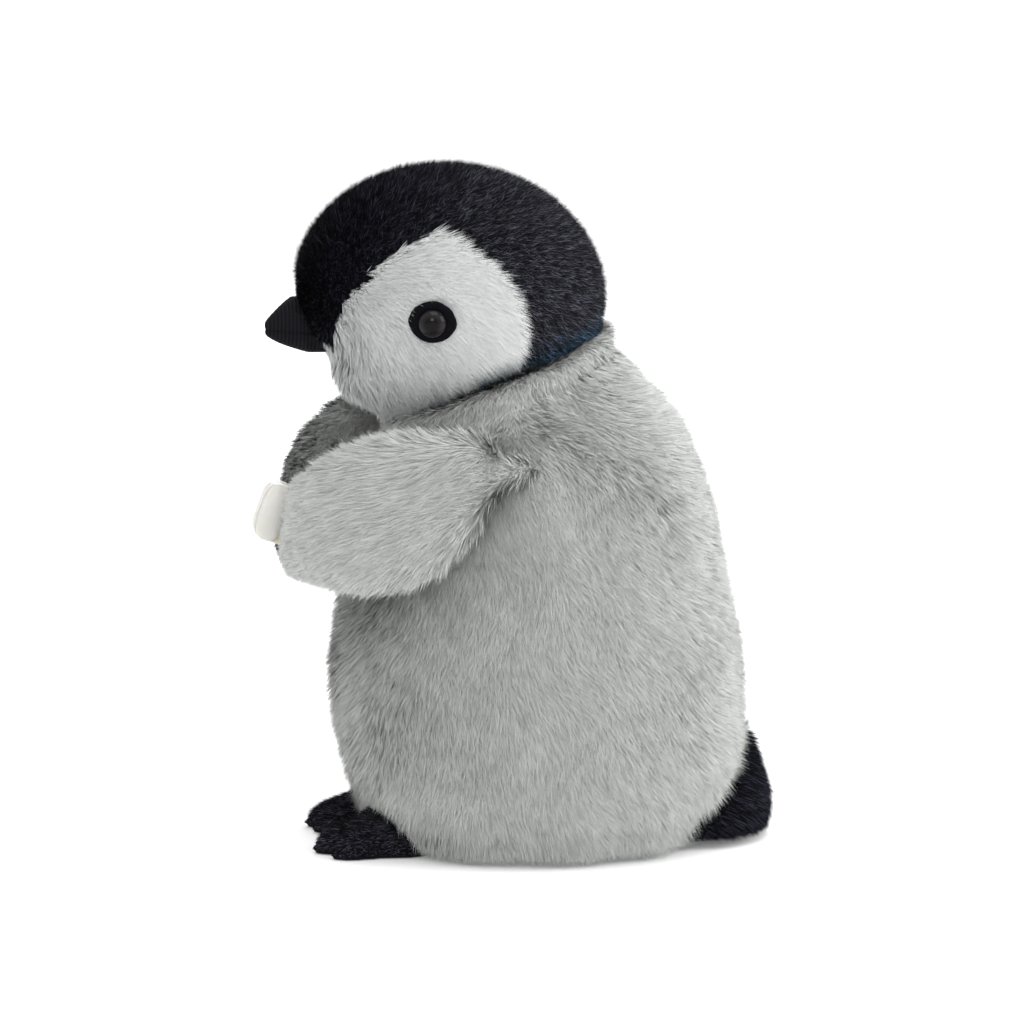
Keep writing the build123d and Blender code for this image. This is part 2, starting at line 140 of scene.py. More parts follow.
def add_floor():
    """A wide pale sheet under the toy."""
    half = 30.0
    mesh = bpy.data.meshes.new("floor")
    corners = [(-half, -half, 0), (half, -half, 0), (half, half, 0), (-half, half, 0)]
    mesh.from_pydata(corners, [], [(0, 1, 2, 3)])
    floor = bpy.data.objects.new("floor", mesh)
    scene.collection.objects.link(floor)
    paper = bpy.data.materials.new("pale_floor")
    paper.use_nodes = True
    shader = paper.node_tree.nodes["Principled BSDF"]
    shader.inputs["Base Color"].default_value = (0.9, 0.9, 0.9, 1)
    shader.inputs["Emission Color"].default_value = (1, 1, 1, 1)
    shader.inputs["Emission Strength"].default_value = 0.12
    shader.inputs["Roughness"].default_value = 0.9
    mesh.materials.append(paper)


add_floor()

# %% [markdown]
# ## Small helpers for node trees
# Every finish and the pile itself are node trees made here. One helper adds a node with its
# settings and one joins sockets, so that a tree reads as a short list.


# %% Node helpers
def node(tree, kind, links=None, **settings):
    """Adds a node. links maps an input to a socket or to a plain value."""
    made = tree.nodes.new(kind)
    for key, value in settings.items():
        setattr(made, key, value)
    for key, value in (links or {}).items():
        if isinstance(value, bpy.types.NodeSocket):
            tree.links.new(value, made.inputs[key])
        else:
            made.inputs[key].default_value = value
    return made


def maths(tree, operation, a, b=0.0, clamp=False):
    """One Math node's output."""
    return node(tree, "ShaderNodeMath", {0: a, 1: b}, operation=operation, use_clamp=clamp).outputs[0]


def vector_maths(tree, operation, a, b=(0, 0, 0)):
    """One Vector Math node's vector output."""
    made = node(tree, "ShaderNodeVectorMath", {0: a}, operation=operation)
    if operation == "SCALE":
        if isinstance(b, bpy.types.NodeSocket):
            tree.links.new(b, made.inputs["Scale"])
        else:
            made.inputs["Scale"].default_value = b
    elif isinstance(b, bpy.types.NodeSocket):
        tree.links.new(b, made.inputs[1])
    elif operation != "NORMALIZE":
        made.inputs[1].default_value = b
    return made.outputs[0]


def mix_colour(tree, share, a, b, blend="MIX"):
    """A colour between a and b."""
    made = node(tree, "ShaderNodeMix", data_type="RGBA", blend_type=blend)
    for index, value in ((0, share), (6, a), (7, b)):
        if isinstance(value, bpy.types.NodeSocket):
            tree.links.new(value, made.inputs[index])
        else:
            made.inputs[index].default_value = value
    return made.outputs[2]


def noise(tree, place, scale, detail=2.0):
    """A noise texture's value."""
    links = {"Vector": place, "Scale": scale, "Detail": detail}
    return node(tree, "ShaderNodeTexNoise", links).outputs["Fac"]


def painted(tree, name):
    """A value stored on the mesh, in a material."""
    return node(tree, "ShaderNodeAttribute", attribute_name=name).outputs["Fac"]


def stored(tree, name, kind="FLOAT"):
    """A value stored on the mesh, in a Geometry Nodes tree."""
    return node(tree, "GeometryNodeInputNamedAttribute", {"Name": name}, data_type=kind).outputs[0]


def chance(tree, seed, low=0.0, high=1.0):
    """A random number for each point."""
    links = {2: low, 3: high, "Seed": seed}
    return node(tree, "FunctionNodeRandomValue", links, data_type="FLOAT").outputs[1]


def set_values(shader, **values):
    """Sets a shader's plain inputs, with spaces in their names written as underscores."""
    for key, value in values.items():
        shader.inputs[key.replace("_", " ")].default_value = value


def group_with(name, kind, inputs, outputs):
    """A new node group with its named sockets, and its input and output nodes."""
    tree = bpy.data.node_groups.new(name, kind)
    for title, socket, value in inputs:
        made = tree.interface.new_socket(title, in_out="INPUT", socket_type=socket)
        if value is not None:
            made.default_value = value
    for title, socket in outputs:
        tree.interface.new_socket(title, in_out="OUTPUT", socket_type=socket)
    return tree, tree.nodes.new("NodeGroupInput"), tree.nodes.new("NodeGroupOutput")


# %% [markdown]
# ## Colour and softness of the pile
# Real pile is thousands of see-through fibres, so it looks soft: the light follows the shape of
# the skin and not each fibre. The shared group gives every strand the skin's own direction for
# its shading, darkens it towards the root as painted shade deep in the pile, and lets its colour
# wander from strand to strand and from tuft to tuft.


# %% Pile colour group
def make_pile_shade():
    """Group: colour from root to tip with variation, and a normal borrowed from the skin."""
    tree, source, result = group_with(
        "pile_shade",
        "ShaderNodeTree",
        [
            ("Root Color", "NodeSocketColor", (0.1, 0.1, 0.1, 1)),
            ("Tip Color", "NodeSocketColor", (0.5, 0.5, 0.5, 1)),
            ("Strand Spread", "NodeSocketFloat", 0.2),
            ("Tuft Size", "NodeSocketFloat", 0.005),
            ("Tuft Spread", "NodeSocketFloat", 0.2),
            ("Softness", "NodeSocketFloat", 0.8),
            ("Light Color", "NodeSocketColor", (0.5, 0.5, 0.5, 1)),
            ("Stain Color", "NodeSocketColor", (0.5, 0.5, 0.5, 1)),
            ("Glint", "NodeSocketFloat", 0.0),
        ],
        [("Color", "NodeSocketColor"), ("Normal", "NodeSocketVector")],
    )
    along = painted(tree, "along")
    tone = painted(tree, "tone")
    skin = node(tree, "ShaderNodeAttribute", attribute_name="skin_normal").outputs["Vector"]
    place = node(tree, "ShaderNodeTexCoord").outputs["Object"]
    scale = maths(tree, "DIVIDE", 1.0, source.outputs["Tuft Size"])
    tuft = noise(tree, place, scale, 3.0)
    # light marks where the tip colour turns lighter: painted light on the back of the cap, and the feet's own
    # greyer tone
    light = painted(tree, "light")
    stain = painted(tree, "stain")
    tip = mix_colour(tree, light, source.outputs["Tip Color"], source.outputs["Light Color"])
    # Painted shade: each strand is darker towards its root, for the shade deep in the pile
    base = mix_colour(tree, along, source.outputs["Root Color"], tip)
    # Where the skin is marked for it, the colour turns to the painted shade and sheen of the neck, where the
    # head meets the body
    base = mix_colour(tree, stain, base, source.outputs["Stain Color"])
    strand = maths(tree, "MULTIPLY", maths(tree, "SUBTRACT", tone, 0.5), source.outputs["Strand Spread"])
    patch = maths(tree, "MULTIPLY", maths(tree, "SUBTRACT", tuft, 0.5), source.outputs["Tuft Spread"])
    shine = maths(tree, "MULTIPLY", maths(tree, "POWER", tone, 8.0), source.outputs["Glint"])
    gain = maths(tree, "ADD", maths(tree, "ADD", maths(tree, "ADD", strand, patch), shine), 1.0)
    colour = vector_maths(tree, "SCALE", base, gain)
    turned = node(tree, "ShaderNodeVectorTransform", {0: skin}, vector_type="NORMAL")
    turned.convert_from, turned.convert_to = "OBJECT", "WORLD"
    facing = turned.outputs[0]
    own = node(tree, "ShaderNodeNewGeometry").outputs["Normal"]
    part_skin = vector_maths(tree, "SCALE", facing, source.outputs["Softness"])
    part_own = vector_maths(tree, "SCALE", own, maths(tree, "SUBTRACT", 1.0, source.outputs["Softness"]))
    normal = vector_maths(tree, "NORMALIZE", vector_maths(tree, "ADD", part_skin, part_own))
    tree.links.new(colour, result.inputs["Color"])
    tree.links.new(normal, result.inputs["Normal"])
    return tree


PILE_SHADE = make_pile_shade()


# %% Pile and skin materials
def principled(name):
    """A new material with its Principled shader."""
    made = bpy.data.materials.new(name)
    made.use_nodes = True
    return made, made.node_tree, made.node_tree.nodes["Principled BSDF"]


def pile_material(
    name, root, tip, strand_spread, tuft_size, tuft_spread, light=None, stain=None, glint=0.0
):
    """The finish of one pile: a lighter colour and a colour of painted shade and sheen go on the parts of the
    skin that are marked for them.
    """
    made, tree, shader = principled(name)
    shade = node(tree, "ShaderNodeGroup", node_tree=PILE_SHADE)
    set_values(shade, Root_Color=(*root, 1), Tip_Color=(*tip, 1), Strand_Spread=strand_spread)
    set_values(shade, Tuft_Size=tuft_size, Tuft_Spread=tuft_spread, Softness=0.8, Glint=glint)
    set_values(shade, Light_Color=(*(light or tip), 1), Stain_Color=(*(stain or tip), 1))
    tree.links.new(shade.outputs["Color"], shader.inputs["Base Color"])
    tree.links.new(shade.outputs["Normal"], shader.inputs["Normal"])
    set_values(shader, Roughness=0.8, Specular_IOR_Level=0.04)
    return made


def cloth_material(name, colour, grain, depth, rough=0.9, sheen=0.2):
    """A brushed cloth: mottled colour and a fine uneven surface."""
    made, tree, shader = principled(name)
    place = node(tree, "ShaderNodeTexCoord").outputs["Object"]
    fine = noise(tree, place, 1 / grain, 5.0)
    broad = noise(tree, place, 0.1 / grain)
    dark = tuple(c * 0.7 for c in colour)
    share = maths(tree, "MULTIPLY", maths(tree, "ADD", fine, broad), 0.5)
    shade = mix_colour(tree, share, (*dark, 1), (*colour, 1))
    tree.links.new(shade, shader.inputs["Base Color"])
    bump = node(tree, "ShaderNodeBump", {"Height": fine, "Distance": depth, "Strength": 0.8})
    tree.links.new(bump.outputs["Normal"], shader.inputs["Normal"])
    set_values(shader, Roughness=rough, Specular_IOR_Level=0.06, Sheen_Weight=sheen)
    return made


grey_pile = pile_material("grey_pile", (0.46, 0.47, 0.46), (0.575, 0.59, 0.57), 0.36, 3.5 * MM, 0.42)
# The white pile's neck colour is painted shade, teal-black, and the black pile's is a bluish painted sheen
white_pile = pile_material(
    "white_pile", (0.78, 0.80, 0.79), (0.88, 0.90, 0.89), 0.12, 4 * MM, 0.06, stain=(0.02, 0.045, 0.06)
)
black_pile = pile_material(
    "black_pile", (0.002, 0.002, 0.003), (0.004, 0.004, 0.006), 0.8, 3 * MM, 0.5,
    light=(0.014, 0.014, 0.017), stain=(0.007, 0.013, 0.020), glint=22.0,
)
grey_skin_cloth = cloth_material("grey_skin_cloth", (0.52, 0.53, 0.52), 1 * MM, 0.2 * MM, sheen=0.0)
white_skin_cloth = cloth_material("white_skin_cloth", (0.7, 0.7, 0.69), 1 * MM, 0.2 * MM)
black_skin_cloth = cloth_material("black_skin_cloth", (0.006, 0.006, 0.008), 1 * MM, 0.2 * MM, sheen=0.0)
felt_cloth = cloth_material("felt_cloth", (0.004, 0.004, 0.006), 0.4 * MM, 0.08 * MM, rough=1.0, sheen=0.0)

# %% [markdown]
# ## Growing a pile
# A pile could be a hair system, but a model that others use needs plain meshes. A small Geometry
# Nodes tree scatters points over the skin and puts one thin blade on each. The skin carries a
# "comb" direction at every point, so the pile lies the way the cloth was brushed, and slow noise
# leans neighbouring strands together into tufts.


# %% One strand
def make_strand():
    """A unit spike: its root one across along Y at the origin and its tip one up, as a single face."""
    mesh = bpy.data.meshes.new("strand")
    mesh.from_pydata([(0, -0.5, 0), (0, 0.5, 0), (0, 0, 1)], [], [(0, 1, 2)])
    along = mesh.attributes.new("along", "FLOAT", "POINT")
    along.data.foreach_set("value", [0.0, 0.0, 1.0])
    return bpy.data.objects.new("strand", mesh)


STRAND = make_strand()


# %% The pile tree
def make_pile_tree():
    """Geometry Nodes: skin in, combed strands out."""
    tree, source, result = group_with(
        "pile",
        "GeometryNodeTree",
        [
            ("Skin", "NodeSocketGeometry", None),
            ("Strand", "NodeSocketObject", None),
            ("Strands per m2", "NodeSocketFloat", 1e7),
            ("Length", "NodeSocketFloat", 6 * MM),
            ("Width", "NodeSocketFloat", 0.3 * MM),
            ("Scatter", "NodeSocketFloat", 0.15),
            ("Tuft Size", "NodeSocketFloat", 5 * MM),
            ("Tuft Lean", "NodeSocketFloat", 0.5),
            ("Seed", "NodeSocketInt", 1),
            ("Finish", "NodeSocketMaterial", None),
        ],
        [("Pile", "NodeSocketGeometry")],
    )
    get = source.outputs
    cut = stored(tree, "cut")
    skin_normal = stored(tree, "skin_normal", "FLOAT_VECTOR")
    thin = maths(tree, "GREATER_THAN", cut, 0.05)
    density = maths(tree, "MULTIPLY", get["Strands per m2"], thin)
    spread = node(
        tree,
        "GeometryNodeDistributePointsOnFaces",
        {"Mesh": get["Skin"], "Density": density, "Seed": get["Seed"]},
        distribute_method="RANDOM",
    )
    normal = spread.outputs["Normal"]
    tone = chance(tree, get["Seed"])
    with_tone = node(
        tree,
        "GeometryNodeStoreNamedAttribute",
        {"Geometry": spread.outputs["Points"], "Name": "tone", "Value": tone},
        data_type="FLOAT",
        domain="POINT",
    )
    with_normal = node(
        tree,
        "GeometryNodeStoreNamedAttribute",
        {"Geometry": with_tone.outputs[0], "Name": "skin_normal", "Value": normal},
        data_type="FLOAT_VECTOR",
        domain="POINT",
    )
    place = node(tree, "GeometryNodeInputPosition").outputs[0]
    frequency = maths(tree, "DIVIDE", 1.0, get["Tuft Size"])
    slow = node(tree, "ShaderNodeTexNoise", {"Vector": place, "Scale": frequency, "Detail": 2.0})
    centred = vector_maths(tree, "SUBTRACT", slow.outputs["Color"], (0.5, 0.5, 0.5))
    lean = vector_maths(tree, "SCALE", centred, get["Tuft Lean"])
    any_way = node(
        tree,
        "FunctionNodeRandomValue",
        {0: (-1, -1, -1), 1: (1, 1, 1), "Seed": maths(tree, "ADD", get["Seed"], 7.0)},
        data_type="FLOAT_VECTOR",
    ).outputs[0]
    stray = vector_maths(tree, "SCALE", any_way, get["Scatter"])
    stand = vector_maths(tree, "SCALE", skin_normal, stored(tree, "rise"))
    combed = vector_maths(tree, "ADD", stored(tree, "comb", "FLOAT_VECTOR"), lean)
    flow = vector_maths(tree, "ADD", combed, vector_maths(tree, "ADD", stray, stand))
    upright = node(tree, "FunctionNodeAlignRotationToVector", {"Vector": flow}, axis="Z")
    faced = node(
        tree,
        "FunctionNodeAlignRotationToVector",
        {"Rotation": upright.outputs[0], "Vector": skin_normal},
        axis="X",
        pivot_axis="Z",
    )
    roll = chance(tree, maths(tree, "ADD", get["Seed"], 13.0), -0.9, 0.9)
    turn = node(tree, "FunctionNodeAxisAngleToRotation", {"Axis": (0, 0, 1), "Angle": roll}).outputs[0]
    turned = node(
        tree,
        "FunctionNodeRotateRotation",
        {"Rotation": faced.outputs[0], "Rotate By": turn},
        rotation_space="LOCAL",
    ).outputs[0]
    size = chance(tree, maths(tree, "ADD", get["Seed"], 29.0), 0.7, 1.1)
    length = maths(tree, "MULTIPLY", maths(tree, "MULTIPLY", get["Length"], size), cut)
    scale = node(tree, "ShaderNodeCombineXYZ", {0: length, 1: get["Width"], 2: length}).outputs[0]
    shape = node(tree, "GeometryNodeObjectInfo", {"Object": get["Strand"]}).outputs["Geometry"]
    grown = node(
        tree,
        "GeometryNodeInstanceOnPoints",
        {"Points": with_normal.outputs[0], "Instance": shape, "Rotation": turned, "Scale": scale},
    )
    real = node(tree, "GeometryNodeRealizeInstances", {"Geometry": grown.outputs[0]})
    done = node(tree, "GeometryNodeSetMaterial", {"Geometry": real.outputs[0], "Material": get["Finish"]})
    tree.links.new(done.outputs[0], result.inputs["Pile"])
    return tree


PILE = make_pile_tree()
PILE_SOCKETS = {item.name: item.identifier for item in PILE.interface.items_tree if item.in_out == "INPUT"}


# %% Meshes as arrays
def points_of(mesh):
    """A mesh's points as an array."""
    found = np.empty(len(mesh.vertices) * 3, np.float32)
    mesh.vertices.foreach_get("co", found)
    return found.reshape(-1, 3).astype(float)


def normals_of(mesh):
    """The direction square to the surface at each point."""
    found = np.empty(len(mesh.vertices) * 3, np.float32)
    mesh.vertex_normals.foreach_get("vector", found)
    return found.reshape(-1, 3).astype(float)


def set_points(mesh, points):
    """Moves a mesh's points."""
    mesh.vertices.foreach_set("co", np.asarray(points, np.float32).ravel())
    mesh.update()


def unit(vectors):
    """Each row at length one."""
    return vectors / np.maximum(np.linalg.norm(vectors, axis=1, keepdims=True), 1e-9)


def object_from(name, mesh):
    """A linked object for a mesh."""
    mesh.name = name
    made = bpy.data.objects.new(name, mesh)
    scene.collection.objects.link(made)
    return made


def object_of(name, made):
    """A linked object for a bmesh, which is used up."""
    mesh = bpy.data.meshes.new(name)
    made.to_mesh(mesh)
    made.free()
    return object_from(name, mesh)


def settle(piece):
    """Turns a piece's modifiers into plain mesh."""
    bpy.context.view_layer.update()
    seen = piece.evaluated_get(bpy.context.evaluated_depsgraph_get())
    mesh = bpy.data.meshes.new_from_object(seen)
    piece.modifiers.clear()
    piece.data = mesh
    mesh.name = piece.name
    return piece


def smooth_shaded(piece):
    """Shades a piece smooth."""
    piece.data.polygons.foreach_set("use_smooth", [True] * len(piece.data.polygons))
    return piece


# %% Growing it
def grow(name, skin, finish, per_mm2, length, width, scatter, tuft, lean, seed, body):
    """Grows a pile on a skin and leaves it as a plain mesh that rides on a body."""
    host = object_from(name, skin.data.copy())
    host.data.materials.clear()
    pile = host.modifiers.new("pile", "NODES")
    pile.node_group = PILE
    values = {
        "Strand": STRAND,
        "Strands per m2": per_mm2 * 1e6,
        "Length": length,
        "Width": width,
        "Scatter": scatter,
        "Tuft Size": tuft,
        "Tuft Lean": lean,
        "Seed": seed,
        "Finish": finish,
    }
    for title, value in values.items():
        pile[PILE_SOCKETS[title]] = value
    settle(host)
    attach(host, body)
    print(name, len(host.data.polygons), "faces")
    return host


# %% [markdown]
# ## Padded skins
# Each stuffed piece starts from the outside of its CAD solid, drawn a little in so that the pile
# has room. It is remeshed to even faces, and cloth under pressure then fills it out between its
# seams, as fibre pushed into a sewn skin does. The small toy is simulated ten times as large,
# because the solver is happier with that.


# %% Skins from the frame
def hull_of(name, nodes, sink=0.0):
    """The tight closed wrap round some CAD nodes, also sunk backwards into what is behind them."""
    points = np.vstack([points_of(frame["nodes"][n].data) for n in nodes])
    if sink:
        points = np.vstack([points, points + (0, sink, 0)])
    made = bmesh.new()
    for p in points:
        made.verts.new(p)
    bmesh.ops.remove_doubles(made, verts=made.verts, dist=1e-5)
    hull = bmesh.ops.convex_hull(made, input=made.verts)
    loose = [g for g in hull["geom_interior"] + hull["geom_unused"] if isinstance(g, bmesh.types.BMVert)]
    bmesh.ops.delete(made, geom=list(set(loose)), context="VERTS")
    bmesh.ops.recalc_face_normals(made, faces=made.faces)
    return object_of(name, made)


def joined(name, nodes):
    """Copies of some CAD nodes' meshes as one mesh."""
    made = bmesh.new()
    for n in nodes:
        made.from_mesh(frame["nodes"][n].data)
    bmesh.ops.remove_doubles(made, verts=made.verts, dist=1e-6)
    return object_of(name, made)


def remesh(piece, size, smooths=8):
    """Even faces of about that size, then smoothed."""
    even = piece.modifiers.new("even", "REMESH")
    even.mode = "VOXEL"
    even.voxel_size = size
    relax = piece.modifiers.new("relax", "SMOOTH")
    relax.factor = 0.5
    relax.iterations = smooths
    return settle(piece)


def move_out(piece, distance):
    """Moves a piece's surface along its own direction, by a number or one for each point."""
    step = np.broadcast_to(np.asarray(distance, float).reshape(-1, 1), (len(piece.data.vertices), 1))
    set_points(piece.data, points_of(piece.data) + normals_of(piece.data) * step)


SIMULATION_SCALE = 10.0
FRAMES = 20


def stuff(piece, cap, pinned=None, pressure=4.0):
    """Cloth under pressure fills a closed skin out, by no more than cap. pinned is 0 to 1 for each point."""
    before = points_of(piece.data)
    copy = object_from("stuffing_run", piece.data.copy())
    set_points(copy.data, before * SIMULATION_SCALE)
    if pinned is not None:
        held = copy.vertex_groups.new(name="held")
        for index in np.nonzero(pinned > 0.01)[0]:
            held.add([int(index)], float(pinned[index]), "REPLACE")
    cloth = copy.modifiers.new("cloth", "CLOTH")
    cloth.settings.use_pressure = True
    cloth.settings.uniform_pressure_force = pressure
    cloth.settings.effector_weights.gravity = 0
    cloth.settings.bending_stiffness = 2.0
    cloth.collision_settings.use_collision = False
    if pinned is not None:
        cloth.settings.vertex_group_mass = "held"
    for step in range(1, FRAMES + 1):
        scene.frame_set(step)
    seen = copy.evaluated_get(bpy.context.evaluated_depsgraph_get())
    after = points_of(seen.data) / SIMULATION_SCALE
    scene.frame_set(1)
    move = after - before
    far = np.maximum(np.linalg.norm(move, axis=1, keepdims=True), 1e-9)
    move *= np.minimum(1.0, cap / far)
    set_points(piece.data, before + move)
    bpy.data.objects.remove(copy)
    print(piece.name, "filled out by up to", round(float(far.max()) / MM, 2), "mm, kept to", cap / MM)


def store(piece, name, values, kind="FLOAT"):
    """Stores one value for each point on a piece."""
    if name in piece.data.attributes:
        piece.data.attributes.remove(piece.data.attributes[name])
    made = piece.data.attributes.new(name, kind, "POINT")
    field = "vector" if kind == "FLOAT_VECTOR" else "value"
    made.data.foreach_set(field, np.asarray(values, np.float32).ravel())


def comb(piece, directions, cut, rise=0.5):
    """Stores which way the pile lies along the surface, its cut from 0 to 1, and how far it stands up."""
    normals = normals_of(piece.data)
    flat = directions - normals * np.sum(directions * normals, axis=1, keepdims=True)
    store(piece, "comb", unit(flat), "FLOAT_VECTOR")
    store(piece, "cut", np.clip(cut, 0, 1))
    store(piece, "rise", np.broadcast_to(rise, len(normals)))


def part_of(name, piece, keep):
    """A copy of a piece with only the faces whose middles pass a test."""
    made = bmesh.new()
    made.from_mesh(piece.data)
    gone = [f for f in made.faces if not keep(f.calc_center_median())]
    bmesh.ops.delete(made, geom=gone, context="FACES")
    return object_of(name, made)


def forget(*pieces):
    """Removes pieces that were only used to make others."""
    for piece in pieces:
        bpy.data.objects.remove(piece)


def smoothstep(low, high, value):
    """0 below low, 1 above high, and a soft step between."""
    t = np.clip((value - low) / (high - low), 0, 1)
    return t * t * (3 - 2 * t)


# %% [markdown]
# ## Where things are
# The neck seam, its axis and the clip's pin come from the frame's joints, and the head's panels
# from its nodes, so that the pile follows the frame wherever it is changed.


# %% Places and slow unevenness
neck_joint = next(j for j in frame["joints"] if j["name"] == "head_turn")
NECK = Vector(neck_joint["pos_m"])
NECK_AXIS = Vector(neck_joint["axis"]).normalized()
PIN = Vector(frame["joints"][0]["pos_m"])


def above_neck(points):
    """How far each point is above the neck seam."""
    return (points - np.array(NECK)) @ np.array(NECK_AXIS)


def lumps(points, size, seed):
    """Slow smooth unevenness from a few crossed waves, about -1 to 1."""
    chance = np.random.default_rng(seed)
    total = np.zeros(len(points))
    for _ in range(9):
        way = unit(chance.normal(size=(1, 3)))[0] * 2 * math.pi / size * chance.uniform(0.7, 1.4)
        total += np.sin(points @ way + chance.uniform(0, 2 * math.pi))
    return total / 4.0


HEAD_NODES = ["head_cap", "cheek_left", "cheek_right"]


def tree_of(node_name):
    """A node's surface, for finding the nearest point on it."""
    made = bmesh.new()
    made.from_mesh(frame["nodes"][node_name].data)
    found = BVHTree.FromBMesh(made)
    made.free()
    return found


HEAD_TREES = {n: tree_of(n) for n in HEAD_NODES}

# %% [markdown]
# ## Head
# One egg of skin carries three panels: a black cap with short dense pile and two white cheeks.
# The frame's own cheek panels say which part of the skin is white. The cap is brushed back from
# the beak, and the cheeks down and back, so that white hairs cross the black border.

# %% Head skin
def nearest_panel(p):
    """The head panel that a point lies on."""
    return min(HEAD_NODES, key=lambda n: HEAD_TREES[n].find_nearest(p)[3])


def make_head_skin():
    """The stuffed head under the pile."""
    skin = hull_of("head_skin", HEAD_NODES)
    remesh(skin, 1.6 * MM)
    normals = normals_of(skin.data)
    points = points_of(skin.data)
    face_down = -(normals @ np.array(NECK_AXIS))
    chin = smoothstep(-40 * MM, -46 * MM, points[:, 1]) * smoothstep(111 * MM, 104 * MM, points[:, 2])
    move_out(skin, -1.6 * MM * (1 - smoothstep(0.8, 0.97, face_down)) - 3.0 * MM * chin)
    pinned = 1 - smoothstep(1 * MM, 4 * MM, above_neck(points))
    stuff(skin, 0.8 * MM, pinned)
    finer = skin.modifiers.new("finer", "SUBSURF")
    finer.levels = finer.render_levels = 1
    settle(skin)
    smooth_shaded(skin)
    skin.data.materials.append(black_skin_cloth)
    skin.data.materials.append(white_skin_cloth)
    return skin


head_skin = make_head_skin()
BEAK = (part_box("beak_upper")[0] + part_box("beak_lower")[1]) / 2
OVERHANG = 2.2 * MM


def pile_panel(p):
    """The panel whose pile grows at a point: the one under the tips, as the strands lie back."""
    return nearest_panel(p + ((p - BEAK).normalized() + Vector((0, 0, -0.5))).normalized() * OVERHANG)


def paint_panels(skin):
    """Gives each face the cap's or the cheeks' cloth."""
    for face in skin.data.polygons:
        under = face.normal @ NECK_AXIS < -0.85
        face.material_index = 0 if under or pile_panel(face.center) == "head_cap" else 1


paint_panels(head_skin)


def comb_head(skin):
    """Brushed back from the beak, down at the neck. The cap is painted lighter towards the back, where the
    light falls, and painted shade and sheen lie low round the back of the neck, where the head meets the
    body.
    """
    points = points_of(skin.data)
    away = unit(points - np.array(BEAK))
    down = np.tile((0.0, 0.0, -1.0), (len(points), 1))
    low = smoothstep(0.13, 0.10, points[:, 2])[:, None]
    neck = above_neck(points)
    facing = normals_of(skin.data) @ np.array(NECK_AXIS)
    cut = np.where((neck < 1.2 * MM) & (facing < -0.93), 0, 1)
    cut = cut * (0.85 + 0.15 * smoothstep(0.5 * MM, 5 * MM, neck))
    near_beak = np.linalg.norm(points - np.array(BEAK), axis=1)
    cut *= 0.4 + 0.6 * smoothstep(8 * MM, 15 * MM, near_beak)
    felts = [tree_of(f"eye_felt_{side}") for side in ("left", "right")]
    to_felt = np.array([min(felt.find_nearest(Vector(p))[3] for felt in felts) for p in points])
    cut *= smoothstep(1.2 * MM, 2.6 * MM, to_felt)
    comb(skin, away + down * (0.35 + 0.5 * low), cut, 0.55)
    # Painted light: the cap's pile turns lighter from the front of the head to the back, where the back light
    # falls on it
    store(skin, "light", smoothstep(-42 * MM, 6 * MM, points[:, 1]))
    # Painted shade and sheen low round the back of the neck, where the head meets the body: the white pile
    # darkens to teal-black and the black pile takes a bluish sheen
    behind = smoothstep(-36 * MM, -16 * MM, points[:, 1])
    ragged = neck + lumps(points, 6 * MM, 4) * 1.4 * MM
    store(skin, "stain", (1 - smoothstep(2 * MM, 7 * MM, ragged)) * behind)


comb_head(head_skin)

# %% Head pile
CHEEK_PILE = 4.4 * MM
CAP_PILE = 2.8 * MM


def grow_head(skin):
    """The cap in two halves and the two cheeks, each its own piece of cloth."""
    for side, sign in (("left", 1), ("right", -1)):
        cheek = part_of(f"cheek_part_{side}", skin, lambda p, n=f"cheek_{side}": pile_panel(p) == n)
        cap = part_of(
            f"cap_part_{side}", skin, lambda p, s=sign: p.x * s >= 0 and pile_panel(p) == "head_cap"
        )
        grow(
            f"cheek_pile_{side}", cheek, white_pile, 42, CHEEK_PILE, 0.17 * MM, 0.35,
            2.6 * MM, 0.8, 31, "head",
        )
        grow(
            f"cap_pile_{side}", cap, black_pile, 38, CAP_PILE, 0.18 * MM, 0.8,
            2.2 * MM, 0.7, 41, "head",
        )
        forget(cheek, cap)


grow_head(head_skin)
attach(head_skin, "head")
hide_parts("head_cap", "head_stuffing", "cheek_left", "cheek_right")

# %% [markdown]
# ## Body
# The body is a pear of long grey pile, brushed down, on a flat base. Its skin is the wrap of the
# cover and the base panel, held at the neck, the base and the side seams, and stuffed. The pile
# is grown in four panels, which is about how such a body is cut, and it is trimmed short at the
# neck, where the head sits on it, and under the base.

# %% Body skin
BODY_PILE = 6.2 * MM

SHOULDER_SWELL = 4 * MM  # how far the skin swells sideways
SHOULDER_DROP = 9 * MM  # the swell's middle, below the flipper's top
SHOULDER_AHEAD = 4 * MM  # and in front of the clip's pin


